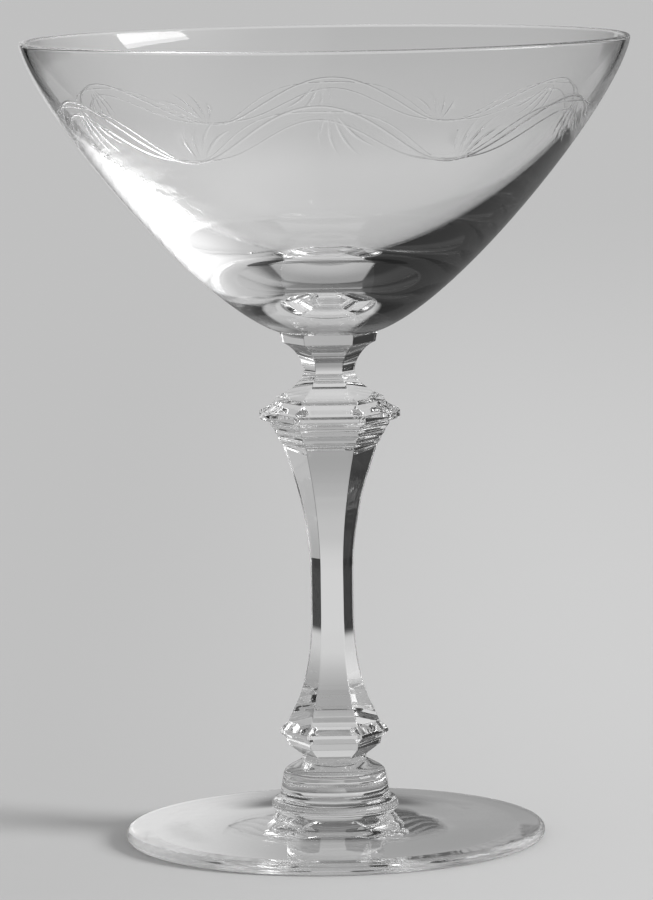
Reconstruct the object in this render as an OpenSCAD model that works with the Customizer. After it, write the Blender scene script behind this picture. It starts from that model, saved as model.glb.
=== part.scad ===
// Sherbet glass: a flaring blown bowl on a tall hexagonal stem, with a round button and a disc foot.
// Four pieces of glass stand on each other, face to face. Z is the axis, and the foot rests on Z = 0.

/* [Bowl] */
// Diameter over the rim
rim_d = 110; // [96:0.5:130]
// Height of the bowl from its seat to the lip
bowl_h = 53.1; // [44:0.1:66]
// Thickness of the wall at the lip
lip_t = 1.3; // [0.9:0.1:2]
// Thickness of the solid base at the axis
base_t = 8; // [6:0.1:10]
// Slope of the underside at the seat, in degrees from level
underside_slope = 17; // [8:1:25]
// How far the underside keeps that slope before it steepens
underside_sweep = 14.6; // [10:0.1:17]
// How far the floor of the hollow runs out level from the axis before it rises
floor_sweep = 24.4; // [20:0.1:26]
// Length of wall below the lip that keeps the slope of the rim
rim_sweep = 11.8; // [8:0.1:16]
// Slope of the wall at the rim, in degrees from level
rim_slope = 79.5; // [72:0.5:86]

/* [Flange and neck] */
// Number of flat sides on the stem
stem_sides = 6; // [6:2:12]
// Width of the flange across its corners, at the bowl
flange_w = 17.9; // [15:0.1:22]
// Width of the flange across its corners, on the underside
flange_under_w = 17.1; // [14:0.1:20]
// Thickness of the flange
flange_t = 2; // [1:0.1:4]
// Width of the neck across its corners, where it springs from the flange
neck_top_w = 16.2; // [12:0.1:18]
// Height of the small chamfer under the flange
flange_chamfer_h = 0.15; // [0.1:0.05:1]
// Least width of the neck across its corners
neck_w = 9.45; // [7:0.05:13]
// Height of the neck above its narrowest place
neck_upper_h = 4.95; // [3:0.05:8]
// Height of the neck below its narrowest place
neck_lower_h = 4.8; // [3:0.05:8]

/* [Upper knop] */
// Width of the small step on the knop across its corners, at the neck
step_top_w = 19.7; // [15:0.1:24]
// Width of the small step across its corners, at its lower edge
step_w = 20.2; // [15:0.1:25]
// Height of the small step
step_h = 0.8; // [0.3:0.1:2]
// Width of the knop across its corners
upper_knop_w = 25.7; // [21:0.1:30]
// Height of the sloping top of the knop
upper_top_h = 1.4; // [0.8:0.1:3]
// How far the sloping top is hollowed
upper_top_hollow = 0.35; // [0:0.05:0.6]
// Height of the upright edge of the knop, with its bevels
upper_edge_h = 1.9; // [1.2:0.1:3]
// Width of the bevels of the edge
upper_edge_bevel = 0.35; // [0.1:0.05:0.5]
// Height of the undercut below the edge
upper_undercut_h = 0.5; // [0.3:0.1:2]
// Number of rounded bands in the collar below the knop
collar_bands = 3; // [1:1:5]
// Height of the collar
collar_h = 4; // [2:0.1:7]
// Width of the collar across its corners, under the knop
collar_w = 21.8; // [18:0.1:25]
// How far each band of the collar bulges
collar_bulge = 0.2; // [0.1:0.05:0.3]

/* [Column] */
// Width of the column across its corners, at the collar
column_head_w = 17.4; // [14:0.1:20]
// Least width of the column across its corners
column_w = 7.9; // [6:0.1:12]
// Width of the column across its corners, at the lower knop
column_foot_w = 14.6; // [12:0.1:18]
// Length of the upper flare
upper_flare_h = 24.4; // [18:0.1:32]
// Length of the straight part
shank_h = 7; // [2:0.1:14]
// Length of the lower flare
lower_flare_h = 17.1; // [12:0.1:24]

/* [Lower knop] */
// Height of the cove between the column and the knop
cove_h = 2.5; // [1:0.1:5]
// Width across its corners where the cove meets the knop
cove_w = 16.7; // [14:0.1:19]
// Width of the knop across its corners
lower_knop_w = 19.9; // [17:0.1:26]
// Height of the sloping top of the knop
lower_top_h = 1.4; // [0.8:0.1:3]
// Height of the upright edge of the knop
lower_edge_h = 0.7; // [0.3:0.1:2]
// Height of the undercut below the edge
lower_undercut_h = 0.9; // [0.5:0.1:2]
// Width of the band below the knop across its corners, at its top
band_w = 17.6; // [14:0.1:19]
// Width of the band across its corners, at its bottom
band_foot_w = 16.8; // [13:0.1:19]
// Height of the band
band_h = 1.3; // [0.6:0.1:3]
// Height of the slope from the band in to the waist
waist_slope_h = 1.9; // [1:0.1:4]
// Width of the waist across its corners
waist_w = 11.7; // [9:0.1:14]
// Height of the waist
waist_h = 1; // [0.5:0.1:3]

/* [Button] */
// Height of the button
button_h = 6.6; // [4.5:0.1:10]
// Diameter over the bead at the bottom of the button
button_d = 20; // [17:0.1:24]
// Height of the bead
bead_h = 1; // [0.6:0.1:1.6]
// Diameter of the button below its shoulder
shoulder_d = 18.7; // [16:0.1:23]
// Height of the shoulder
shoulder_h = 2.5; // [1.5:0.1:3]
// Slope of the shoulder at the waist of the stem, in degrees from level
shoulder_slope = 30; // [0:1:40]
// Width of the ledge of the button round the waist of the stem
waist_ledge = 0.5; // [0.2:0.1:1]

/* [Foot] */
// Diameter of the foot
foot_d = 76.6; // [64:0.1:90]
// Thickness of the rounded edge
edge_t = 2.2; // [1.4:0.1:4]
// Height of the seat for the button, above the table
seat_h = 7.6; // [6:0.1:11]
// How far the ring under the button bulges beyond the button
seat_ledge = 1.6; // [0.8:0.1:3]
// Height of that ring
seat_ring_h = 2.9; // [1.6:0.1:4]
// Length of the sweep of the dome in to the ring
dome_sweep = 8; // [5:0.1:11]
// Rise of the dome at the ring, in degrees from level
dome_slope = 9; // [5:0.5:14]
// Length of the sweep of the dome in from the edge
dome_edge_sweep = 14; // [8:0.1:18]
// Slope of the dome at the edge, in degrees from level
dome_edge_slope = 3; // [0:0.5:6]
// Depth of the hollow under the foot
hollow_h = 1.7; // [0.5:0.1:2.5]
// Width of the flat ring that the foot stands on
rest_w = 4; // [2:0.5:8]

/* [Hidden] */

glass_tint = [0.86, 0.88, 0.88, 0.55];
// Pieces that each swept curve is drawn in
curve_steps = 16;
long_curve_steps = 28;
edge_steps = 8;
// A stack of widths from the button up, each level resting on the one below
button_z = seat_h;
stem_z = button_z + button_h;
waist_top_z = stem_z + waist_h;
band_z = waist_top_z + waist_slope_h;
lower_undercut_z = band_z + band_h;
lower_edge_z = lower_undercut_z + lower_undercut_h;
lower_top_z = lower_edge_z + lower_edge_h;
cove_z = lower_top_z + lower_top_h;
lower_flare_z = cove_z + cove_h;
shank_z = lower_flare_z + lower_flare_h;
upper_flare_z = shank_z + shank_h;
collar_z = upper_flare_z + upper_flare_h;
upper_undercut_z = collar_z + collar_h;
upper_edge_z = upper_undercut_z + upper_undercut_h;
upper_top_z = upper_edge_z + upper_edge_h;
step_z = upper_top_z + upper_top_h;
neck_z = step_z + step_h;
neck_waist_z = neck_z + neck_lower_h;
neck_top_z = neck_waist_z + neck_upper_h;
flange_z = neck_top_z + flange_chamfer_h;
bowl_z = flange_z + flange_t;

// Half the width across flats, as a share of half the width across corners
flat_share = cos(180 / stem_sides);
// The seat of the bowl reaches out to the corners of the flange
bowl_seat_r = flange_w / 2;
button_top_r = waist_w / 2 + waist_ledge;

// Shares of a flare's height that its two ends keep their direction for
flare_near = 0.5;
flare_far = 0.15;
// Directions of the flares where they meet a knop, in degrees from upright
flare_head_tilt = 17;
flare_foot_tilt = 33;
// Where the ring of the seat springs from the dome, in degrees from level
seat_ring_from = -65;
// Lean of the side of the button, in degrees from upright
button_lean = 5;
// Directions of the neck where it meets the flange and the knop, in degrees from level
neck_tilt = 28;
neck_foot_tilt = 18;
neck_far = 0.5;
neck_near = 0.28;

// A direction in the r-z plane, with a length
function along(angle, pull) = [cos(angle) * pull, sin(angle) * pull];

// Points of a smooth cubic from a, which it leaves by the vector out, to b, which it reaches by the vector in
function sweep(a, out, b, in, steps) = [
    for (i = [0:steps])
        let (t = i / steps, s = 1 - t)
            s * s * s * a + 3 * s * s * t * (a + out) + 3 * s * t * t * (b - in) + t * t * t * b
];

// Points of a round or oval arc about a centre, with its half width and half height
function arc(centre, half_w, half_h, from, to, steps) = [
    for (i = [0:steps])
        let (angle = from + (to - from) * i / steps)
            centre + [half_w * cos(angle), half_h * sin(angle)]
];

function backwards(points) = [for (i = [len(points) - 1:-1:0]) points[i]];

// Outside of the bowl from its seat to the lip
function bowl_outside() =
    sweep(
        [bowl_seat_r, bowl_z], along(underside_slope, underside_sweep),
        [rim_d / 2, bowl_z + bowl_h - lip_t / 2], along(rim_slope, rim_sweep), long_curve_steps
    );

// Inside of the bowl from the axis to the lip
function bowl_inside() =
    sweep(
        [0, bowl_z + base_t], along(0, floor_sweep),
        [rim_d / 2 - lip_t, bowl_z + bowl_h - lip_t / 2], along(rim_slope, rim_sweep), long_curve_steps
    );

module bowl() {
    lip_r = lip_t / 2;
    lip = arc([rim_d / 2 - lip_r, bowl_z + bowl_h - lip_r], lip_r, lip_r, 0, 180, curve_steps);
    color(glass_tint)
        rotate_extrude()
            polygon(concat([[0, bowl_z]], bowl_outside(), lip, backwards(bowl_inside())));
}

// Outline of the stem along one corner, from the button to the bowl, as half widths and heights
function waist_and_band() = [
    [waist_w / 2, stem_z],
    [waist_w / 2, waist_top_z],
    [band_foot_w / 2, band_z],
    [band_w / 2, lower_undercut_z]
];

function lower_knop() = [
    [lower_knop_w / 2, lower_edge_z],
    [lower_knop_w / 2, lower_top_z],
    [cove_w / 2, cove_z]
];

function lower_flare() =
    sweep(
        [column_foot_w / 2, lower_flare_z], along(90 + flare_foot_tilt, lower_flare_h * flare_far),
        [column_w / 2, shank_z], along(90, lower_flare_h * flare_near), curve_steps
    );

function upper_flare() =
    sweep(
        [column_w / 2, upper_flare_z], along(90, upper_flare_h * flare_near),
        [column_head_w / 2, collar_z], along(90 - flare_head_tilt, upper_flare_h * flare_far), curve_steps
    );

// Rounded bands that widen upwards, with a groove between each two
function collar() =
    let (widening = (collar_w - column_head_w) / 2)
        [
            for (i = [1:collar_bands * edge_steps])
                let (t = i / edge_steps, bulge = collar_bulge * abs(sin(180 * t)))
                    [
                        column_head_w / 2 + widening * t / collar_bands + bulge,
                        collar_z + collar_h * t / collar_bands
                    ]
        ];

function upper_knop() =
    let (edge_r = upper_knop_w / 2, bevel_r = edge_r - upper_edge_bevel)
        [
            [bevel_r, upper_edge_z],
            [edge_r, upper_edge_z + upper_edge_bevel],
            [edge_r, upper_top_z - upper_edge_bevel],
            [bevel_r, upper_top_z],
            [(bevel_r + step_w / 2) / 2 - upper_top_hollow, (upper_top_z + step_z) / 2],
            [step_w / 2, step_z]
        ];

function neck_lower() =
    sweep(
        [step_top_w / 2, neck_z], along(180 - neck_foot_tilt, neck_lower_h * neck_near),
        [neck_w / 2, neck_waist_z], along(90, neck_lower_h * neck_far), curve_steps
    );

function neck_upper() =
    sweep(
        [neck_w / 2, neck_waist_z], along(90, neck_upper_h * neck_near),
        [neck_top_w / 2, neck_top_z], along(neck_tilt, neck_upper_h * neck_far), curve_steps
    );

function flange() = [
    [flange_under_w / 2, flange_z],
    [flange_w / 2, bowl_z]
];

function stem_outline() = concat(
    waist_and_band(), lower_knop(), lower_flare(), upper_flare(), collar(), upper_knop(),
    neck_lower(), neck_upper(), flange()
);

// One pair of opposite flat sides: the outline and its mirror image, carried straight across the stem
module stem_slab() {
    right = [for (p = stem_outline()) [p[0] * flat_share, p[1]]];
    left = [for (p = right) [-p[0], p[1]]];
    across = 2 * max([for (p = right) p[0]]) / flat_share;
    rotate([90, 0, 0])
        linear_extrude(across, center = true)
            polygon(concat(right, backwards(left)));
}

// The stem is what the slabs have in common, with a corner of each level on the X axis
module stem() {
    turn = 360 / stem_sides;
    color(glass_tint)
        intersection_for (i = [0:stem_sides / 2 - 1])
            rotate([0, 0, turn * (i + 0.5)])
                stem_slab();
}

module button() {
    side_top_z = stem_z - shoulder_h;
    bead_r = bead_h / 2;
    bead = arc([button_d / 2 - bead_r, button_z + bead_r], bead_r, bead_r, -90, 30, curve_steps);
    shoulder = sweep(
        [shoulder_d / 2, side_top_z], along(90 + button_lean, shoulder_h / 2),
        [button_top_r, stem_z], along(180 - shoulder_slope, (shoulder_d / 2 - button_top_r) / 2), curve_steps
    );
    color(glass_tint)
        rotate_extrude()
            polygon(concat([[0, button_z]], bead, shoulder, [[0, stem_z]]));
}

module foot() {
    edge_r = edge_t / 2;
    rest_r = foot_d / 2 - edge_r;
    ring_centre = [button_d / 2, seat_h - seat_ring_h / 2];
    hollow = sweep(
        [0, hollow_h], along(0, rest_r / 2),
        [rest_r - rest_w, 0], along(-dome_edge_slope, rest_r / 4), curve_steps
    );
    edge = arc([rest_r, edge_r], edge_r, edge_r, -90, 90, curve_steps);
    ring = arc(ring_centre, seat_ledge, seat_ring_h / 2, seat_ring_from, 90, curve_steps);
    dome = sweep(
        [rest_r, edge_t], along(180 - dome_edge_slope, dome_edge_sweep),
        ring[0], along(180 - dome_slope, dome_sweep), curve_steps
    );
    color(glass_tint)
        rotate_extrude()
            polygon(concat(hollow, edge, dome, ring, [[0, seat_h]]));
}

bowl();
stem();
button();
foot();
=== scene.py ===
import math

import bpy
import numpy as np
from mathutils import Matrix, Vector
from mathutils.geometry import delaunay_2d_cdt


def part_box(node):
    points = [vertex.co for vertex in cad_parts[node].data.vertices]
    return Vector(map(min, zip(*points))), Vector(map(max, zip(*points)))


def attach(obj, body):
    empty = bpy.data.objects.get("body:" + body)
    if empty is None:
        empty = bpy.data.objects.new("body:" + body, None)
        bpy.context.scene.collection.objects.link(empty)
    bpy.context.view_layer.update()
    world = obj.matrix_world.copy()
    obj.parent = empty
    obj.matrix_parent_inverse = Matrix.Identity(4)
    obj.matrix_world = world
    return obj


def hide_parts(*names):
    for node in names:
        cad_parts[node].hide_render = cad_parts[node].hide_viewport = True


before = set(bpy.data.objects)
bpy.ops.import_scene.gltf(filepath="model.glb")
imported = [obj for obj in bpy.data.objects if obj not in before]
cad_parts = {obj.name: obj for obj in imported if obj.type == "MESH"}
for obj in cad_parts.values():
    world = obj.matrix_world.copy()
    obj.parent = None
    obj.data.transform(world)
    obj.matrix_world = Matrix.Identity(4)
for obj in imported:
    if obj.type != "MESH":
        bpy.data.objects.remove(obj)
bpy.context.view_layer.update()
mm = 0.001
scene = bpy.context.scene
scene.view_settings.view_transform = "Standard"
print("frame:", sorted(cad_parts))

# heights and widths that the pieces share, read from the solids
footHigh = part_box("foot")[1]
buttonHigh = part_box("button")[1]
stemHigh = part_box("stem")[1]
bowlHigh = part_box("bowl")[1]
seatZ = footHigh.z
stemZ = buttonHigh.z
bowlZ = stemHigh.z
lipZ = bowlHigh.z
footR = footHigh.x


# camera: where the photo was taken from, long lens, turned a little about its own line of sight
view = {
    "distance": 984.3 * mm,
    "height": 188.7 * mm,
    "downDeg": 6.81,
    "rollDeg": -0.83,
    "yawDeg": 0.039,
    "focalPixels": 5458.3,
    "imageHeight": 900,
    "sensor": 36.0,
    "clipNear": 0.05,
}


def makeCamera(v):
    data = bpy.data.cameras.new("camera")
    data.sensor_width = v["sensor"]
    data.lens = v["focalPixels"] * v["sensor"] / v["imageHeight"]
    data.clip_start = v["clipNear"]
    cam = bpy.data.objects.new("camera", data)
    turn = Matrix.Rotation(math.radians(v["yawDeg"]), 4, "Z")
    tilt = Matrix.Rotation(math.radians(90 - v["downDeg"]), 4, "X")
    roll = Matrix.Rotation(math.radians(v["rollDeg"]), 4, "Z")
    cam.matrix_world = Matrix.Translation((0, -v["distance"], v["height"])) @ turn @ tilt @ roll
    scene.collection.objects.link(cam)
    scene.camera = cam


makeCamera(view)
print("camera set")


# small helpers for node trees
def nodeTree(owner):
    owner.use_nodes = True
    tree = owner.node_tree
    tree.nodes.clear()
    return tree


def addNode(tree, kind, **values):
    node = tree.nodes.new(kind)
    for key, value in values.items():
        if key in node.inputs:
            node.inputs[key].default_value = value
        else:
            setattr(node, key, value)
    return node


# a Math node on two values, each a socket or a number
def maths(tree, kind, a, b=0.0):
    node = addNode(tree, "ShaderNodeMath", operation=kind)
    for socket, value in zip(node.inputs, (a, b)):
        if hasattr(value, "links"):
            tree.links.new(value, socket)
        else:
            socket.default_value = value
    return node.outputs[0]


# value carried smoothly from low, at start, to high, at end
def smoothStep(tree, value, start, end, low, high):
    node = addNode(tree, "ShaderNodeMapRange", interpolation_type="SMOOTHSTEP")
    tree.links.new(value, node.inputs["Value"])
    for key, number in (("From Min", start), ("From Max", end), ("To Min", low), ("To Max", high)):
        node.inputs[key].default_value = number
    return node.outputs["Result"]


# glass: clear Principled; smears and the cutting's frost roughen it, and waves and grain tilt its surface
def makeGlass(name, g):
    mat = bpy.data.materials.new(name)
    tree = nodeTree(mat)
    out = addNode(tree, "ShaderNodeOutputMaterial")
    shader = addNode(tree, "ShaderNodeBsdfPrincipled")
    shader.inputs["Base Color"].default_value = (*g["colour"], 1)
    shader.inputs["IOR"].default_value = g["ior"]
    shader.inputs["Transmission Weight"].default_value = 1.0
    coords = addNode(tree, "ShaderNodeTexCoord")
    film = addNode(tree, "ShaderNodeTexNoise", Scale=g["filmScale"], Detail=g["filmDetail"])
    waves = addNode(tree, "ShaderNodeTexNoise", Scale=g["waveScale"], Detail=g["waveDetail"])
    grain = addNode(tree, "ShaderNodeTexNoise", Scale=g["grainScale"], Detail=g["grainDetail"])
    for noise in (film, waves, grain):
        tree.links.new(coords.outputs["Object"], noise.inputs["Vector"])
    smear = smoothStep(tree, film.outputs["Fac"], g["filmFrom"], g["filmTo"], 0.0, g["film"])
    cutMark = addNode(tree, "ShaderNodeAttribute", attribute_name="cut")
    frost = maths(tree, "MULTIPLY", cutMark.outputs["Fac"], g["frost"])
    tree.links.new(maths(tree, "ADD", smear, frost), shader.inputs["Roughness"])
    axes = addNode(tree, "ShaderNodeSeparateXYZ")
    tree.links.new(coords.outputs["Object"], axes.inputs["Vector"])
    lower = smoothStep(tree, axes.outputs["Z"], g["lowFrom"], g["lowTo"], g["lowWaves"], 1.0)
    swell = maths(tree, "MULTIPLY", waves.outputs["Fac"], lower)
    waveBump = addNode(tree, "ShaderNodeBump", Strength=1.0, Distance=g["waveHeight"])
    grainBump = addNode(tree, "ShaderNodeBump", Strength=1.0, Distance=g["grainHeight"])
    tree.links.new(swell, waveBump.inputs["Height"])
    tree.links.new(grain.outputs["Fac"], grainBump.inputs["Height"])
    tree.links.new(waveBump.outputs["Normal"], grainBump.inputs["Normal"])
    tree.links.new(grainBump.outputs["Normal"], shader.inputs["Normal"])
    tree.links.new(shader.outputs["BSDF"], out.inputs["Surface"])
    return mat


# where two pieces are melted together there is no surface to see
def makeFusedJoint():
    mat = bpy.data.materials.new("fused_joint")
    tree = nodeTree(mat)
    out = addNode(tree, "ShaderNodeOutputMaterial")
    clear = addNode(tree, "ShaderNodeBsdfTransparent")
    tree.links.new(clear.outputs["BSDF"], out.inputs["Surface"])
    return mat


clearGlass = {
    "colour": (0.985, 0.985, 0.985), "ior": 1.52, "filmFrom": 0.52, "filmTo": 0.8, "filmDetail": 5.0,
    "waveDetail": 1.5, "lowFrom": 6 * mm, "lowTo": 12 * mm, "grainDetail": 2.0,
}
blownGlass = makeGlass("blown_glass", {
    **clearGlass, "filmScale": 45.0, "film": 0.02, "frost": 0.3, "waveScale": 55.0, "waveHeight": 0.02 * mm,
    "lowWaves": 1.0, "grainScale": 900.0, "grainHeight": 0.0002 * mm})
pressedGlass = makeGlass("pressed_glass", {
    **clearGlass, "filmScale": 90.0, "film": 0.03, "frost": 0.0, "waveScale": 90.0, "waveHeight": 0.015 * mm,
    "lowWaves": 2.0, "grainScale": 1200.0, "grainHeight": 0.0005 * mm})
fusedJoint = makeFusedJoint()
print("materials made")


# cubic from a, leaving by the vector out, to b, arriving by the vector into
def sweepCurve(a, out, b, into, steps=160):
    a, out, b, into = (np.array(p, float) for p in (a, out, b, into))
    t = np.linspace(0, 1, steps)[:, None]
    s = 1 - t
    return s**3 * a + 3 * s**2 * t * (a + out) + 3 * s * t**2 * (b - into) + t**3 * b


# vector of the length pull at an angle from level
def along(angleDeg, pull):
    return np.array([math.cos(math.radians(angleDeg)), math.sin(math.radians(angleDeg))]) * pull


# part of an oval, from one angle to another
def ovalArc(centre, halfW, halfH, startDeg, endDeg, steps=60):
    a = np.radians(np.linspace(startDeg, endDeg, steps))
    return np.array(centre, float) + np.stack([halfW * np.cos(a), halfH * np.sin(a)], 1)


# outline rounded by averaging along its length, then thinned so that its points crowd into the bends
def easeOutline(points, blur, stepLength, stepTurnDeg, fine=0.02):
    points = np.asarray(points, float)
    run = np.concatenate([[0], np.cumsum(np.linalg.norm(np.diff(points, axis=0), axis=1))])
    count = int(run[-1] / fine) + 1
    at = np.linspace(0, run[-1], count)
    dense = np.stack([np.interp(at, run, points[:, i]) for i in (0, 1)], 1)
    if blur > 0:
        half = int(3 * blur / fine)
        kernel = np.exp(-0.5 * (np.arange(-half, half + 1) * fine / blur) ** 2)
        kernel /= kernel.sum()
        ends = [2 * dense[0] - dense[half:0:-1], dense, 2 * dense[-1] - dense[-2:-half - 2:-1]]
        padded = np.concatenate(ends)
        dense = np.stack([np.convolve(padded[:, i], kernel, "valid") for i in (0, 1)], 1)
    step = np.diff(dense, axis=0)
    heading = np.unwrap(np.arctan2(step[:, 1], step[:, 0]))
    turn = np.abs(np.diff(heading, prepend=heading[0]))
    cost = np.concatenate([[0], np.cumsum(fine / stepLength + np.degrees(turn) / stepTurnDeg)])
    wanted = np.linspace(0, cost[-1], int(cost[-1]) + 2)
    return np.stack([np.interp(wanted, cost, dense[:, i]) for i in (0, 1)], 1)


# outward normals of an outline that runs with the glass on its left
def outlineNormals(outline):
    tangent = np.gradient(outline, axis=0)
    normal = np.stack([tangent[:, 1], -tangent[:, 0]], 1)
    return normal / np.linalg.norm(normal, axis=1)[:, None]


# mesh from rows of points that run round the axis, closed by a point at each end; a patch may stand in for
# the faces between row patchRow and the next: its own points, their normals, and its triangles
def ringMesh(name, rings, lowPoint, highPoint, normals, slots, materials, patchRow=None, patch=None):
    rows, cols = rings.shape[:2]
    index = np.arange(rows * cols).reshape(rows, cols)
    nxt = np.roll(index, -1, axis=1)
    kept = np.array([row for row in range(rows - 1) if row != patchRow])
    quads = np.stack([index[kept], nxt[kept], nxt[kept + 1], index[kept + 1]], -1).reshape(-1, 4)
    low, high = rows * cols, rows * cols + 1
    lowFan = np.stack([np.full(cols, low), nxt[0], index[0]], -1)
    highFan = np.stack([np.full(cols, high), index[-1], nxt[-1]], -1)
    points = np.concatenate([rings.reshape(-1, 3), [lowPoint, highPoint]])
    allNormals = np.concatenate([normals.reshape(-1, 3), [(0, 0, -1), (0, 0, 1)]])
    faces = lowFan.tolist() + quads.tolist() + highFan.tolist()
    faceSlots = np.concatenate([
        np.full(cols, slots[0]), np.repeat(slots[1:-1][kept], cols), np.full(cols, slots[-1])])
    if patch:
        points = np.concatenate([points, patch["points"]])
        allNormals = np.concatenate([allNormals, patch["normals"]])
        faces += patch["faces"].tolist()
        faceSlots = np.concatenate([faceSlots, np.zeros(len(patch["faces"]))])
    mesh = bpy.data.meshes.new(name)
    mesh.from_pydata((points * mm).tolist(), [], faces)
    for m in materials:
        mesh.materials.append(m)
    mesh.polygons.foreach_set("material_index", faceSlots.astype(np.int32))
    mesh.polygons.foreach_set("use_smooth", np.ones(len(mesh.polygons), bool))
    mesh.update()
    mesh.normals_split_custom_set_from_vertices(allNormals.tolist())
    if patch:
        share = np.concatenate([np.zeros(len(points) - len(patch["share"])), patch["share"]])
        mesh.attributes.new("cut", "FLOAT", "POINT").data.foreach_set("value", share)
    piece = bpy.data.objects.new(name, mesh)
    scene.collection.objects.link(piece)
    return piece


# round section: a unit circle, which is also its outward directions
def roundSection(columns):
    a = np.linspace(0, 2 * np.pi, columns, endpoint=False)
    return np.stack([np.cos(a), np.sin(a)], 1)


# six-sided section with rounded corners: each corner is an arc, and each side a straight run between two arcs
def hexSection(halfWidths, cornerR, arcPoints=7, sideShares=(0.015, 0.12, 0.5, 0.88, 0.985)):
    corners = np.radians(np.arange(6) * 60.0)
    spread = np.radians(np.linspace(-30, 30, arcPoints))
    facing = corners[:, None] + spread[None, :]
    arcs = np.stack([np.cos(facing), np.sin(facing)], -1)
    flat = halfWidths * math.cos(math.radians(30))
    reach = (flat - cornerR) / math.cos(math.radians(30))
    centres = np.stack([np.cos(corners), np.sin(corners)], -1)
    arcPts = reach[:, None, None, None] * centres[None, :, None] + cornerR[:, None, None, None] * arcs[None]
    after = np.roll(arcPts[:, :, :1], -1, axis=1)
    share = np.array(sideShares)[None, None, :, None]
    sidePts = arcPts[:, :, -1:] * (1 - share) + after * share
    points = np.concatenate([arcPts, sidePts], 2).reshape(len(halfWidths), -1, 2)
    sideFacing = np.repeat(arcs[:, -1:], len(sideShares), 1)
    facings = np.concatenate([arcs, sideFacing], 1).reshape(-1, 2)
    return points, facings


# rows of points in the plane, each at its own height
def lift(points, z):
    return np.concatenate([points, np.broadcast_to(z[:, None, None], points.shape[:2] + (1,))], -1)


# normals all round: each column's facing times the outward part of the outline's normal, and its upward part
def spreadNormals(facings, profileNormals):
    flat = facings[None] * profileNormals[:, None, :1]
    up = np.broadcast_to(profileNormals[:, None, 1:], flat.shape[:2] + (1,))
    return np.concatenate([flat, up], -1)


# foot: hollow underside, flat ring, rounded edge, low dome, seat for the button
foot = {
    "edgeThick": 2.2, "restWidth": 4.0, "hollow": 1.7, "domeEdgeSlope": 3.0, "domeEdgeSweep": 14.0,
    "domeSlope": 9.0, "domeSweep": 8.0, "ringOut": 1.6, "ringHigh": 2.9, "ringFrom": -65.0, "joinR": 9.5,
    "beadR": 10.0, "hollowPull": (0.5, 0.25), "soften": 0.12, "stepLong": 0.9, "stepTurn": 7.0,
    "columns": 192, "poleR": 0.4,
}


# an outline of arcs and cubic sweeps, carried round the axis: its radius times each point of a unit circle
def makeFoot(f):
    seat = seatZ / mm
    edgeR = f["edgeThick"] / 2
    restR = footR / mm - edgeR
    ring = ovalArc((f["beadR"], seat - f["ringHigh"] / 2), f["ringOut"], f["ringHigh"] / 2, f["ringFrom"], 90)
    middlePull, edgePull = f["hollowPull"]
    hollow = sweepCurve((0, f["hollow"]), along(0, restR * middlePull),
                        (restR - f["restWidth"], 0), along(-f["domeEdgeSlope"], restR * edgePull))
    outline = np.concatenate([
        hollow[hollow[:, 0] > f["poleR"]],
        ovalArc((restR, edgeR), edgeR, edgeR, -90, 90),
        sweepCurve((restR, f["edgeThick"]), along(180 - f["domeEdgeSlope"], f["domeEdgeSweep"]),
                   ring[0], along(180 - f["domeSlope"], f["domeSweep"])),
        ring, [(f["joinR"], seat)],
    ])
    outline = easeOutline(outline, f["soften"], f["stepLong"], f["stepTurn"])
    section = roundSection(f["columns"])
    rings = lift(outline[:, None, :1] * section[None], outline[:, 1])
    normals = spreadNormals(section, outlineNormals(outline))
    slots = np.zeros(len(outline) + 1)
    slots[-1] = 1
    return ringMesh("foot_glass", rings, (0, 0, f["hollow"]), (0, 0, seat), normals, slots,
                    [pressedGlass, fusedJoint])


footPiece = makeFoot(foot)
print("foot made")


# button: bead at the bottom, side that leans in a little, sloping shoulder, level top round the stem's waist
button = {
    "lowR": 10.0, "beadHigh": 1.0, "beadTo": 30.0, "sideR": 9.35, "lean": 5.0, "shoulder": 2.5, "slope": 30.0,
    "topR": 6.35, "shoulderPull": 0.5, "soften": 0.12, "stepLong": 0.5, "stepTurn": 7.0,
}


# an outline carried round the axis in the directions of the waist's points, then the waist's own six sides
def makeButton(b, waistR, waistCornerR):
    low, top = seatZ / mm, stemZ / mm
    pull = b["shoulderPull"]
    beadR = b["beadHigh"] / 2
    outline = np.concatenate([
        ovalArc((b["lowR"] - beadR, low + beadR), beadR, beadR, -90, b["beadTo"]),
        sweepCurve((b["sideR"], top - b["shoulder"]), along(90 + b["lean"], b["shoulder"] * pull),
                   (b["topR"], top), along(180 - b["slope"], (b["sideR"] - b["topR"]) * pull)),
    ])
    outline = easeOutline(outline, b["soften"], b["stepLong"], b["stepTurn"])
    join, _ = hexSection(np.array([waistR]), np.array([waistCornerR]))
    directions = join[0] / np.linalg.norm(join[0], axis=1)[:, None]
    rings = lift(outline[:, None, :1] * directions[None], outline[:, 1])
    rings = np.concatenate([rings, lift(join, np.array([top]))])
    normals = spreadNormals(directions, outlineNormals(outline))
    normals = np.concatenate([normals, np.broadcast_to((0.0, 0.0, 1.0), (1, len(directions), 3))])
    slots = np.zeros(len(rings) + 1)
    slots[[0, -1]] = 1
    return ringMesh("button_glass", rings, (0, 0, low), (0, 0, top), normals, slots,
                    [pressedGlass, fusedJoint])


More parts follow.
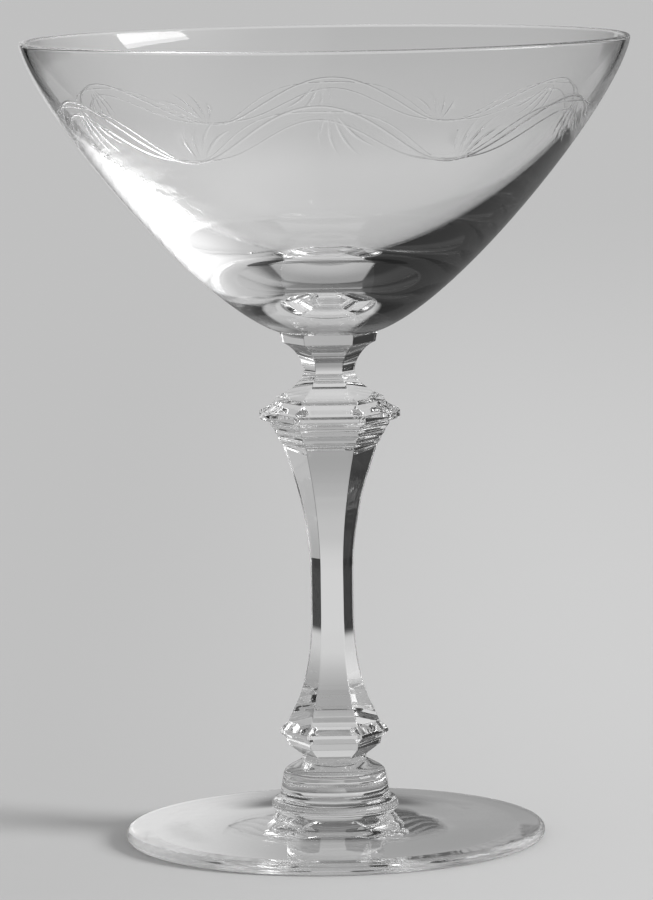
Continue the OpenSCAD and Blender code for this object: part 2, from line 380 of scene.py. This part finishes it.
# stem: half widths across corners, from the waist up to the flange; a pair is a half width and the height of
# the run up to it, and a pull is two shares of a sweep's height
stem = {
    "waist": (5.85, 1.0), "waistSlope": (8.4, 1.9), "band": (8.8, 1.3), "lowerUnder": (9.95, 0.9),
    "lowerEdge": (9.95, 0.7), "lowerTop": (8.35, 1.4), "cove": (7.3, 2.5), "coveTurn": 123,
    "lowerFlare": 17.1, "columnR": 3.95, "shank": 7.0, "upperFlare": 24.4, "headR": 8.7, "headTurn": 73,
    "flarePull": (0.15, 0.5), "collarBands": 3, "collarHigh": 4.0, "collarR": 10.9, "collarBulge": 0.2,
    "collarPoints": 73, "upperUnder": 0.5, "edgeR": 12.85, "bevel": 0.35, "edgeHigh": 1.9,
    "upperTopHollow": 0.35, "upperTop": (10.1, 1.4), "step": (9.85, 0.8), "stepUpTurn": 162,
    "neckLower": 4.8, "neckR": 4.725, "neckUpper": 4.95, "neckTopR": 8.1, "neckTopTurn": 28,
    "neckPull": (0.28, 0.5), "flangeUnder": (8.55, 0.15), "flange": (8.95, 2.0),
    "cornerR": 0.45, "cornerShare": 0.2, "soften": 0.06, "stepLong": 0.7, "stepTurn": 8.0,
}


# outline of the stem: straight runs between levels, cubic sweeps along the column and the neck, and a collar
# whose bands each swell by a half wave
def stemOutline(s):
    pieces = []
    z = stemZ / mm

    def level(r, z):
        pieces.append(np.array([(r, z)]))

    level(s["waist"][0], z)
    for key in ("waist", "waistSlope", "band", "lowerUnder", "lowerEdge", "lowerTop"):
        z += s[key][1]
        level(s[key][0], z)
    z += s["cove"][1]
    lf, uf = s["lowerFlare"], s["upperFlare"]
    sharp, easy = s["flarePull"]
    pieces.append(sweepCurve((s["cove"][0], z), along(s["coveTurn"], lf * sharp),
                             (s["columnR"], z + lf), along(90, lf * easy)))
    z += lf + s["shank"]
    pieces.append(sweepCurve((s["columnR"], z), along(90, uf * easy),
                             (s["headR"], z + uf), along(s["headTurn"], uf * sharp)))
    z += uf
    share = np.linspace(0, 1, s["collarPoints"])
    bulge = s["collarBulge"] * np.abs(np.sin(np.pi * s["collarBands"] * share))
    widening = (s["collarR"] - s["headR"]) * share
    pieces.append(np.column_stack((s["headR"] + widening + bulge, z + s["collarHigh"] * share)))
    z += s["collarHigh"] + s["upperUnder"]
    bevelR = s["edgeR"] - s["bevel"]
    level(bevelR, z)
    level(s["edgeR"], z + s["bevel"])
    z += s["edgeHigh"]
    level(s["edgeR"], z - s["bevel"])
    level(bevelR, z)
    middle = (bevelR + s["upperTop"][0]) / 2 - s["upperTopHollow"]
    level(middle, z + s["upperTop"][1] / 2)
    z += s["upperTop"][1]
    level(s["upperTop"][0], z)
    z += s["step"][1]
    nl, nu = s["neckLower"], s["neckUpper"]
    start, end = s["neckPull"]
    pieces.append(sweepCurve((s["step"][0], z), along(s["stepUpTurn"], nl * start),
                             (s["neckR"], z + nl), along(90, nl * end)))
    z += nl
    pieces.append(sweepCurve((s["neckR"], z), along(90, nu * start),
                             (s["neckTopR"], z + nu), along(s["neckTopTurn"], nu * end)))
    z += nu
    for key in ("flangeUnder", "flange"):
        z += s[key][1]
        level(s[key][0], z)
    return np.concatenate(pieces)


# at each height of the outline, a six-sided section of that half width
def makeStem(s):
    low, top = stemZ / mm, bowlZ / mm
    outline = easeOutline(stemOutline(s), s["soften"], s["stepLong"], s["stepTurn"])
    outline[-1, 1] = top
    corner = np.minimum(s["cornerR"], outline[:, 0] * s["cornerShare"])
    points, facings = hexSection(outline[:, 0], corner)
    rings = lift(points, outline[:, 1])
    normals = spreadNormals(facings, outlineNormals(outline))
    slots = np.zeros(len(rings) + 1)
    slots[[0, -1]] = 1
    return ringMesh("stem_glass", rings, (0, 0, low), (0, 0, top), normals, slots, [pressedGlass, fusedJoint])


buttonPiece = makeButton(button, stem["waist"][0], stem["cornerR"])
stemPiece = makeStem(stem)
print("button and stem made")


# cut decoration: a running wave of three lines with a spray of slender leaves in each hollow, as shallow
# grooves; lengths run round the wall from a trough of the wave, and up the wall from the foot of the band
cut = {
    "repeats": 6, "bandLow": 118.5, "bandHigh": 143.0, "station": 0.4, "seamStep": 1.1, "fillStep": 1.6,
    "lineHalf": (0.3, 0.22, 0.16), "lineDeep": (0.1, 0.08, 0.06), "lineRise": (0.5, -1.5, 1.2),
    "lineSwing": (6.2, 4.6, 5.6), "lineRipple": (0.0, 0.8, -1.2), "lineSteps": 600,
    "leafTurn": (98, 80, 62, 46), "leafLong": (7.5, 9.5, 10.5, 10.0), "leafHalf": 0.42, "leafDeep": 0.12,
    "leafFrom": 0.03, "leafGap": 0.45, "leafLean": 14, "leafCurl": 22, "leafPull": (0.4, 0.35),
    "tip": 0.03, "thinWidth": 0.6, "thinDepth": 1.6, "reach": 0.3,
    "rails": (0, -0.5, 0.5, -1, 1, -1.6, 1.6), "railGrid": 0.09, "seamClear": 0.3, "edgeClear": 0.15,
    "fillClear": 0.9, "weld": 1e-5, "touch": 1e-3,
}


# groove with its middle line, the direction across it, its half width and its depth, all at even stations; a
# tapered one thins out towards its tips as a half wave
def makeStroke(c, line, half, deep, tapered):
    tangent = np.gradient(line, axis=0)
    tangent /= np.linalg.norm(tangent, axis=1)[:, None]
    thin = np.sin(np.pi * np.linspace(c["tip"], 1 - c["tip"], len(line))) if tapered else np.ones(len(line))
    side = np.stack([-tangent[:, 1], tangent[:, 0]], 1)
    return {"line": line, "side": side, "tapered": tapered,
            "half": half * thin**c["thinWidth"], "deep": deep * thin**c["thinDepth"]}


# the same line with its points at even steps
def stations(line, step):
    run = np.concatenate([[0], np.cumsum(np.linalg.norm(np.diff(line, axis=0), axis=1))])
    at = np.linspace(0, run[-1], int(run[-1] / step) + 2)
    return np.stack([np.interp(at, run, line[:, i]) for i in (0, 1)], 1)


# one repeat: each line is a cosine with a ripple of twice its pace, and each leaf a cubic that springs from a
# trough; the leaves under the crests are those over the troughs, upside down and half a repeat on
def cutStrokes(c, length, middle):
    pace = 2 * np.pi / length

    def height(i, u):
        swing = c["lineSwing"][i] * np.cos(pace * u)
        return middle + c["lineRise"][i] - swing + c["lineRipple"][i] * np.cos(2 * pace * u)

    strokes = []
    u = np.linspace(0, length, c["lineSteps"])
    for i in range(len(c["lineHalf"])):
        line = stations(np.stack([u, height(i, u)], 1), c["station"])
        strokes.append(makeStroke(c, line, c["lineHalf"][i], c["lineDeep"][i], False))
    for i, (turn, long) in enumerate(zip(c["leafTurn"], c["leafLong"])):
        u = length * c["leafFrom"] + c["leafGap"] * i
        start = np.array((u, height(0, u)))
        leaving = along(turn + c["leafLean"], c["leafPull"][0] * long)
        arriving = along(turn - c["leafCurl"], c["leafPull"][1] * long)
        leaf = sweepCurve(start, leaving, start + along(turn, long), arriving)
        for line in (leaf, np.stack([leaf[:, 0] + length / 2, 2 * middle - leaf[:, 1]], 1)):
            strokes.append(makeStroke(c, stations(line, c["station"]), c["leafHalf"], c["leafDeep"], True))
    return strokes


# depth and slope of the grooves at each point: across a groove the depth is deep * (1 - (offset / half)^2)^2
def cutDepth(c, points, strokes):
    depth = np.zeros(len(points))
    slope = np.zeros((len(points), 2))
    for stroke in strokes:
        away = np.linalg.norm(points[:, None] - stroke["line"][None], axis=2)
        near = away.argmin(1)
        side, half, deep = (stroke[key][near] for key in ("side", "half", "deep"))
        offset = ((points - stroke["line"][near]) * side).sum(1)
        share = np.clip(offset / half, -1, 1)
        here = deep * (1 - share**2) ** 2
        deeper = (here > depth) & (away.min(1) < half + c["reach"])
        depth[deeper] = here[deeper]
        slope[deeper] = (-4 * deep * (1 - share**2) * share / half)[deeper, None] * side[deeper]
    return depth, slope


# points of one repeat of the band: along its edges, along rails beside each groove, and a coarse grid
# between; the rails of a wave line end on the two seams at the same height
def cutPoints(c, strokes, edge, length, high):
    rails = []
    for stroke in strokes:
        for share in c["rails"]:
            rail = stroke["line"] + share * stroke["half"][:, None] * stroke["side"]
            if not stroke["tapered"]:
                rail[0, 0], rail[-1] = 0, (length, rail[0, 1])
            rails.append(rail)
    rails = np.concatenate(rails)
    rails = rails[np.unique(np.round(rails / c["railGrid"]), axis=0, return_index=True)[1]]
    seam = rails[rails[:, 0] == 0]
    inner = rails[(rails[:, 0] > c["edgeClear"]) & (rails[:, 0] < length - c["edgeClear"])]
    v = np.arange(c["seamStep"], high - c["seamStep"] / 2, c["seamStep"])
    v = v[np.abs(v[:, None] - seam[None, :, 1]).min(1) > c["seamClear"]]
    v = np.sort(np.concatenate([v, seam[:, 1]]))
    fillU, fillV = (np.linspace(0, reach, int(reach / c["fillStep"]) + 1)[1:-1] for reach in (length, high))
    fill = np.stack(np.meshgrid(fillU, fillV), -1).reshape(-1, 2)
    away = np.min([np.linalg.norm(fill[:, None] - s["line"][None], axis=2).min(1) for s in strokes], 0)
    sides = [np.stack([np.full(len(v), u), v], 1) for u in (0, length)]
    ends = [np.stack([edge, np.full(len(edge), w)], 1) for w in (0, high)]
    return np.concatenate([*ends, *sides, inner, fill[away > c["fillClear"]]])


# the band as triangles between two rows of the bowl: every repeat shares its edge points with the rows and
# with the repeats beside it
def cutPatch(c, wall, wallNormals, angles, lowRow, firstNew):
    cols = len(angles)
    per = cols // c["repeats"]
    radius = wall[:, 0].mean()
    run = np.concatenate([[0], np.cumsum(np.linalg.norm(np.diff(wall, axis=0), axis=1))])
    high = run[-1]
    turn = 2 * np.pi / c["repeats"]
    length = radius * turn
    edge = np.append((angles[:per] - angles[0]) * radius, length)
    strokes = cutStrokes(c, length, high / 2)
    flat, _, triangles, *_ = delaunay_2d_cdt(
        [Vector(p) for p in cutPoints(c, strokes, edge, length, high)], [], [], 0, c["weld"])
    flat = np.array(flat)
    triangles = np.array(triangles)
    depth, slope = cutDepth(c, flat, strokes)
    touch = c["touch"]
    onLow, onHigh = flat[:, 1] < touch, flat[:, 1] > high - touch
    onLeft, onRight = ((np.abs(flat[:, 0] - u) < touch) & ~onLow & ~onHigh for u in (0, length))
    own = ~(onLow | onHigh | onRight)
    order = {key: np.argsort(np.argsort(flat[mask][:, axis])) for key, mask, axis in (
        ("low", onLow, 0), ("high", onHigh, 0), ("left", onLeft, 1), ("right", onRight, 1))}
    ownIndex = np.cumsum(own) - 1
    leftByRank = np.empty(onLeft.sum(), int)
    leftByRank[order["left"]] = ownIndex[onLeft]
    points, normals, faces = [], [], []
    for k in range(c["repeats"]):
        index = firstNew + k * own.sum() + ownIndex
        index[onLow] = lowRow * cols + (k * per + order["low"]) % cols
        index[onHigh] = (lowRow + 1) * cols + (k * per + order["high"]) % cols
        index[onRight] = firstNew + (k + 1) % c["repeats"] * own.sum() + leftByRank[order["right"]]
        faces.append(index[triangles])
        u, v = flat[own].T
        a = angles[0] + k * turn + u / radius
        r, z, out, up = (np.interp(v, run, column) for column in (*wall.T, *wallNormals.T))
        r, z = r - depth[own] * out, z - depth[own] * up
        points.append(np.stack([r * np.cos(a), r * np.sin(a), z], 1))
        tiltU, tiltV = slope[own].T
        radial = out - tiltV * up
        tilted = np.stack([radial * np.cos(a) - tiltU * np.sin(a),
                           radial * np.sin(a) + tiltU * np.cos(a), up + tiltV * out], 1)
        normals.append(tilted / np.linalg.norm(tilted, axis=1)[:, None])
    return {"points": np.concatenate(points), "normals": np.concatenate(normals),
            "faces": np.concatenate(faces), "share": np.tile(depth[own] / depth.max(), c["repeats"])}


# bowl: level underside, flaring wall, rounded lip, hollow with a round floor; its columns stand on the points
# of the six-sided flange, and the band of cutting takes the place of part of its wall
bowl = {
    "undersideSlope": 17.0, "undersideSweep": 14.6, "rimR": 55.0, "rimSlope": 79.5, "rimSweep": 11.8,
    "lipThick": 1.3, "base": 8.0, "floorSweep": 24.4, "soften": 0.05, "stepLong": 1.0, "stepTurn": 8.0,
    "sidePoints": 30, "sideFrom": 0.03, "poleR": 0.4,
}


# outside and inside are a cubic sweep each, joined by a half circle at the lip and carried round the axis
def makeBowl(b, c, flangeR, flangeCornerR):
    low, lip = bowlZ / mm, lipZ / mm
    lipR = b["lipThick"] / 2
    rimIn = along(b["rimSlope"], b["rimSweep"])
    outside = sweepCurve((flangeR, low), along(b["undersideSlope"], b["undersideSweep"]),
                         (b["rimR"], lip - lipR), rimIn)
    inside = sweepCurve((0, low + b["base"]), along(0, b["floorSweep"]),
                        (b["rimR"] - b["lipThick"], lip - lipR), rimIn)
    inside = inside[inside[:, 0] > b["poleR"]]
    outline = np.concatenate([
        outside, ovalArc((b["rimR"] - lipR, lip - lipR), lipR, lipR, 0, 180), inside[::-1]])
    outline = easeOutline(outline, b["soften"], b["stepLong"], b["stepTurn"])
    sides = np.linspace(b["sideFrom"], 1 - b["sideFrom"], b["sidePoints"])
    join, _ = hexSection(np.array([flangeR]), np.array([flangeCornerR]), sideShares=sides)
    section = join[0] / np.linalg.norm(join[0], axis=1)[:, None]
    rings = lift(outline[:, None, :1] * section[None], outline[:, 1])
    normals = spreadNormals(section, outlineNormals(outline))
    top = outline[:, 1].argmax()
    first, last = np.searchsorted(outline[:top, 1], (c["bandLow"], c["bandHigh"]))
    angles = np.unwrap(np.arctan2(section[:, 1], section[:, 0]))
    kept = np.r_[0:first + 1, last:len(outline)]
    rings = np.concatenate([lift(join, np.array([low])), rings[kept]])
    patch = cutPatch(c, outline[first:last + 1], outlineNormals(outline)[first:last + 1], angles, first + 1,
                     rings.shape[0] * rings.shape[1] + 2)
    normals = np.concatenate([np.broadcast_to((0.0, 0.0, -1.0), (1, len(section), 3)), normals[kept]])
    slots = np.zeros(len(rings) + 1)
    slots[0] = 1
    return ringMesh("bowl_glass", rings, (0, 0, low), (0, 0, low + b["base"]), normals, slots,
                    [blownGlass, fusedJoint], first + 1, patch)


bowlPiece = makeBowl(bowl, cut, stem["flange"][0], stem["cornerR"])
print("bowl made")

for piece, node, slot in (
    (bowlPiece, "bowl", "blown_glass"),
    (stemPiece, "stem", "pressed_glass"),
    (buttonPiece, "button", "pressed_glass"),
    (footPiece, "foot", "pressed_glass"),
):
    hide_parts(node)
    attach(piece, "root")


# stage: a pale matt floor for the eye, and a strip curled up behind that the glass shows; the strip glows
# with painted light and shade, as the same paper would look lit
stage = {
    # the floor's colour takes painted light towards the right
    "floorRadius": 14.0, "floorSides": 64, "floorZ": -0.05 * mm, "paper": 0.56, "rightPaintedLight": 0.2,
    "rightReach": 0.07, "farReach": 1.6,
    "stripZ": -0.02 * mm, "stripHalf": 0.4, "stripFront": -0.5, "stripBack": 0.6, "stripHigh": 0.45,
    "stripBend": 0.15, "bendSteps": 12, "fadeFrom": 0.055, "fadeTo": 0.075, "fadeSpread": 0.3,
    "fadeLean": 0.046, "turnedDepth": 3, "turnedNarrow": 0.8,
    # painted light and shade of the glowing strip: its glow, the painted caustic and shadow by the glass, the
    # painted reflection, and painted shade in the bend and at the top
    "lit": 0.66, "nearFrom": 0.03, "nearTo": 0.12, "nearPaintedCaustic": 1.25, "nearPaintedShadow": 0.6, "nearSide": 0.036,
    "paintedMirrorLeft": 1.35, "paintedMirrorRight": 0.4, "paintedMirrorSide": 0.08,
    "bendShade": 0.84, "bendHigh": 0.06, "topShade": 0.6, "topHigh": 0.28,
}


# material with one shader, and with the place on the stage as three axes
def stageMaterial(name, kind):
    mat = bpy.data.materials.new(name)
    tree = nodeTree(mat)
    out = addNode(tree, "ShaderNodeOutputMaterial")
    shader = addNode(tree, kind)
    coords = addNode(tree, "ShaderNodeTexCoord")
    axes = addNode(tree, "ShaderNodeSeparateXYZ")
    tree.links.new(coords.outputs["Object"], axes.inputs[0])
    tree.links.new(shader.outputs[0], out.inputs["Surface"])
    return mat, tree, shader, axes


# painted light: the paper's colour is a little lighter to the right, towards the window and the lamp, less so
# far behind
def makePaper(t):
    mat, tree, shader, axes = stageMaterial("paper", "ShaderNodeBsdfDiffuse")
    gain = t["rightPaintedLight"] * t["paper"]
    # painted light: extra colour towards the right stands in for the brighter light falling there
    right = smoothStep(tree, axes.outputs["X"], -t["rightReach"], t["rightReach"], 0.0, gain)
    close = smoothStep(tree, axes.outputs["Y"], 0.0, t["farReach"], 1.0, 0.0)
    level = maths(tree, "ADD", maths(tree, "MULTIPLY", right, close), t["paper"])
    tree.links.new(level, shader.inputs["Color"])
    return mat


# the strip glows with painted light, as the paper would look lit: its edges spread apart to the back and fade
# out; painted shade makes it dimmer in the bend and upwards, and by the glass a painted caustic is lighter at
# the left and a painted shadow darker at the right; rays turned back once inside a wall see less of its
# width, and mirrored rays see only its upright part, with a painted reflection lighter at the left
def makePaintedLightPaper(t):
    mat, tree, shader, axes = stageMaterial("painted_light_paper", "ShaderNodeEmission")
    path = addNode(tree, "ShaderNodeLightPath")
    through = path.outputs["Is Transmission Ray"]
    x, y, z = (axes.outputs[key] for key in "XYZ")

    back = maths(tree, "MAXIMUM", y, 0.0)
    across = maths(tree, "SUBTRACT", x, maths(tree, "MULTIPLY", back, t["fadeLean"]))
    turned = maths(tree, "COMPARE", path.outputs["Ray Depth"], t["turnedDepth"])
    narrow = maths(tree, "SUBTRACT", 1.0, maths(tree, "MULTIPLY", turned, t["turnedNarrow"]))
    spread = maths(tree, "MULTIPLY", maths(tree, "MULTIPLY", back, t["fadeSpread"]), narrow)
    edge = maths(tree, "SUBTRACT", maths(tree, "ABSOLUTE", across), spread)
    inside = smoothStep(tree, edge, t["fadeTo"], t["fadeFrom"], 0.0, 1.0)

    # painted caustic and shadow: near the glass the glow is lighter at the left and darker at the right
    square = maths(tree, "ADD", maths(tree, "MULTIPLY", x, x), maths(tree, "MULTIPLY", y, y))
    away = smoothStep(tree, maths(tree, "SQRT", square), t["nearFrom"], t["nearTo"], 0.0, 1.0)
    side = smoothStep(tree, x, -t["nearSide"], 0.0, t["nearPaintedCaustic"], t["nearPaintedShadow"])
    near = maths(tree, "ADD", away, maths(tree, "MULTIPLY", maths(tree, "SUBTRACT", 1.0, away), side))
    # painted shade: the glow is dimmer in the bend and towards the top of the upright part
    bend = smoothStep(tree, z, 0.0, t["bendHigh"], t["lit"], t["lit"] * t["bendShade"])
    top = smoothStep(tree, z, t["bendHigh"], t["topHigh"], 1.0, t["topShade"])
    # painted reflection: for mirrored rays the glow is lighter at the left and darker at the right
    mirror = smoothStep(tree, x, -t["paintedMirrorSide"], t["paintedMirrorSide"], t["paintedMirrorLeft"], t["paintedMirrorRight"])
    mirror = maths(tree, "MULTIPLY", mirror, maths(tree, "SUBTRACT", 1.0, through))
    mirror = maths(tree, "ADD", mirror, through)
    shade = maths(tree, "MULTIPLY", maths(tree, "MULTIPLY", near, bend), top)
    tree.links.new(maths(tree, "MULTIPLY", shade, mirror), shader.inputs["Strength"])

    upright = smoothStep(tree, z, 0.0, t["bendHigh"], 0.0, 1.0)
    seen = maths(tree, "MAXIMUM", through, upright)
    clear = addNode(tree, "ShaderNodeBsdfTransparent")
    mix = addNode(tree, "ShaderNodeMixShader")
    tree.links.new(maths(tree, "MULTIPLY", inside, seen), mix.inputs["Fac"])
    tree.links.new(clear.outputs["BSDF"], mix.inputs[1])
    tree.links.new(shader.outputs["Emission"], mix.inputs[2])
    tree.links.new(mix.outputs["Shader"], tree.nodes["Material Output"].inputs["Surface"])
    return mat


# mesh that belongs to the stage and not to the glass
def stageMesh(name, verts, faces, mat):
    mesh = bpy.data.meshes.new(name)
    mesh.from_pydata(verts.tolist(), [], faces)
    mesh.materials.append(mat)
    piece = bpy.data.objects.new(name, mesh)
    scene.collection.objects.link(piece)
    return piece


# the floor is a wide disc, and the strip a level run, a quarter circle and an upright run, all of one width
def makeStage(t):
    paper = makePaper(t)
    sides = t["floorSides"]
    ring = roundSection(sides) * t["floorRadius"]
    ring = np.concatenate([ring, np.full((sides, 1), t["floorZ"])], 1)
    floor = stageMesh("floor", ring, [list(range(sides))], paper)
    floor.visible_glossy = False
    floor.visible_transmission = False
    bendR = t["stripBend"]
    bend = ovalArc((t["stripBack"] - bendR, bendR), bendR, bendR, -90, 0, t["bendSteps"])
    path = np.concatenate([[(t["stripFront"], 0)], bend, [(t["stripBack"], t["stripHigh"])]])
    path[:, 1] += t["stripZ"]
    half = np.full((len(path), 1), t["stripHalf"])
    verts = np.concatenate([np.concatenate([-half, path], 1), np.concatenate([half, path], 1)])
    n = len(path)
    # the strip is no lamp but glows with painted light, and only the glass sees it
    strip = stageMesh("strip", verts, [[i, i + n, i + n + 1, i + 1] for i in range(n - 1)], makePaintedLightPaper(t))
    strip.visible_camera = False
    strip.visible_diffuse = False
    strip.visible_shadow = False


makeStage(stage)
print("stage set")


# light: a room that is bright towards a window at the right and dark at the left, and a soft lamp for the
# shadow; paperEdge gives, for angles from straight behind, how far below level the pale paper starts
light = {
    "fill": 0.535, "behind": 0.6, "shine": 0.35, "brightAt": (0.947, -0.289, 0.139),
    "room": ((0.0, 0.02), (0.24, 0.1), (0.33, 0.35), (0.42, 0.5), (0.6, 0.6), (0.7, 0.8), (0.85, 1.3),
             (1.0, 2.0)),
    "table": 0.1, "tableEdge": -0.06, "tableDip": 0.2, "dipFrom": 0.45, "dipTo": 0.6,
    "paper": 0.6, "paperSoft": 0.04, "paperDepth": 5, "turnedDepth": 4, "turnedBack": 0.85,
    "paperEdge": ((-120, 0.04), (-110, 0.07), (-75, 0.07), (-65, 0.25), (-24, 0.25), (-20, 0.04),
                  (20, 0.04), (24, 0.25), (45, 0.25), (52, 0.07), (110, 0.07), (120, 0.04)),
    "ceilingLeft": 0.05, "ceilingRight": 0.15, "ceilingSides": (-0.5, 0.1), "ceilingRise": (0.2, 0.5),
    "windowAt": (0.97, -0.206, 0.44), "windowSize": (0.57, 0.46), "windowGlow": 6.0,
    "lampFrom": (0.88, -0.31, 0.36), "lampSpread": 20.0, "lampPower": 3.56,
    "bounces": 200, "clearBounces": 24,
}


# level for a value between 0 and 1, straight from each pair of place and level to the next
def stepRamp(tree, value, pairs):
    ramp = addNode(tree, "ShaderNodeValToRGB")
    stops = ramp.color_ramp.elements
    for place, level in pairs[1:-1]:
        stops.new(place)
    for stop, (place, level) in zip(stops, pairs):
        stop.position = place
        stop.color = (level, level, level, 1)
    tree.links.new(value, ramp.inputs["Fac"])
    return ramp.outputs["Color"]


# room: what the glass shows of it brightens towards brightAt, over a dark table and under a dim ceiling;
# below paperEdge the pale paper shows instead, but not to rays that met more than a few surfaces, nor,
# straight behind, to those turned back once inside a wall; mirrored rays see it all dimmer, and the matt
# floor gets an even fill
def makeRoom(l):
    world = bpy.data.worlds.new("room")
    scene.world = world
    tree = nodeTree(world)
    out = addNode(tree, "ShaderNodeOutputWorld")
    back = addNode(tree, "ShaderNodeBackground", Strength=1.0)
    coords = addNode(tree, "ShaderNodeTexCoord")
    axes = addNode(tree, "ShaderNodeSeparateXYZ")
    path = addNode(tree, "ShaderNodeLightPath")
    tree.links.new(coords.outputs["Generated"], axes.inputs[0])
    x, y, z = (axes.outputs[key] for key in "XYZ")
    depth, through = path.outputs["Ray Depth"], path.outputs["Is Transmission Ray"]

    def choose(share, off, on):
        kept = maths(tree, "MULTIPLY", off, maths(tree, "SUBTRACT", 1.0, share))
        return maths(tree, "ADD", kept, maths(tree, "MULTIPLY", on, share))

    bright = addNode(tree, "ShaderNodeVectorMath", operation="DOT_PRODUCT")
    bright.inputs[1].default_value = l["brightAt"]
    tree.links.new(coords.outputs["Generated"], bright.inputs[0])
    towards = bright.outputs["Value"]
    dip = smoothStep(tree, towards, l["dipFrom"], l["dipTo"], 0.0, l["tableDip"])
    onTable = maths(tree, "LESS_THAN", maths(tree, "ADD", z, dip), l["tableEdge"])
    room = maths(tree, "MULTIPLY", stepRamp(tree, towards, l["room"]), choose(onTable, 1.0, l["table"]))
    ceiling = smoothStep(tree, x, *l["ceilingSides"], l["ceilingLeft"], l["ceilingRight"])
    ceiling = maths(tree, "MULTIPLY", ceiling, smoothStep(tree, z, *l["ceilingRise"], 0.0, 1.0))
    room = maths(tree, "MAXIMUM", room, ceiling)

    turn = maths(tree, "DIVIDE", maths(tree, "ARCTAN2", x, y), math.radians(360))
    edges = [(0.5 + angle / 360, below) for angle, below in l["paperEdge"]]
    overEdge = maths(tree, "ADD", z, stepRamp(tree, maths(tree, "ADD", turn, 0.5), edges))
    onPaper = smoothStep(tree, overEdge, -l["paperSoft"], l["paperSoft"], 1.0, 0.0)
    onPaper = maths(tree, "MULTIPLY", onPaper, maths(tree, "LESS_THAN", depth, l["paperDepth"] + 0.5))
    turned = maths(tree, "COMPARE", depth, l["turnedDepth"])
    turned = maths(tree, "MULTIPLY", turned, maths(tree, "GREATER_THAN", y, l["turnedBack"]))
    onPaper = maths(tree, "MULTIPLY", onPaper, maths(tree, "SUBTRACT", 1.0, turned))
    room = choose(onPaper, room, l["paper"])

    room = maths(tree, "MULTIPLY", room, choose(through, l["shine"], 1.0))
    bent = maths(tree, "MAXIMUM", path.outputs["Is Glossy Ray"], through)
    bent = maths(tree, "MULTIPLY", bent, maths(tree, "LESS_THAN", path.outputs["Diffuse Depth"], 0.5))
    level = choose(path.outputs["Is Camera Ray"], choose(bent, l["fill"], room), l["behind"])
    tree.links.new(level, back.inputs["Color"])
    tree.links.new(back.outputs["Background"], out.inputs["Surface"])


# pane of even light that faces the glass
def makePane(name, place, size, glow):
    mat = bpy.data.materials.new(name)
    tree = nodeTree(mat)
    out = addNode(tree, "ShaderNodeOutputMaterial")
    shader = addNode(tree, "ShaderNodeEmission", Strength=glow)
    tree.links.new(shader.outputs["Emission"], out.inputs["Surface"])
    w, h = (v / 2 for v in size)
    pane = stageMesh(name, np.array([(-w, -h, 0), (w, -h, 0), (w, h, 0), (-w, h, 0)]), [[0, 1, 2, 3]], mat)
    pane.location = place
    pane.rotation_euler = (-pane.location).to_track_quat("Z", "Y").to_euler()
    pane.visible_camera = False
    pane.visible_diffuse = False
    pane.visible_shadow = False
    return pane


# soft lamp for the floor and its shadow, which the glass doesn't mirror
def makeLamp(l):
    data = bpy.data.lights.new("lamp", "SUN")
    data.angle = math.radians(l["lampSpread"])
    data.energy = l["lampPower"]
    lamp = bpy.data.objects.new("lamp", data)
    scene.collection.objects.link(lamp)
    lamp.rotation_euler = Vector(l["lampFrom"]).to_track_quat("Z", "Y").to_euler()
    lamp.visible_glossy = False
    lamp.visible_transmission = False


makeRoom(light)
makePane("window", light["windowAt"], light["windowSize"], light["windowGlow"])
makeLamp(light)
scene.cycles.max_bounces = light["bounces"]
scene.cycles.transmission_bounces = light["bounces"]
scene.cycles.glossy_bounces = light["bounces"]
scene.cycles.transparent_max_bounces = light["clearBounces"]
print("light set")
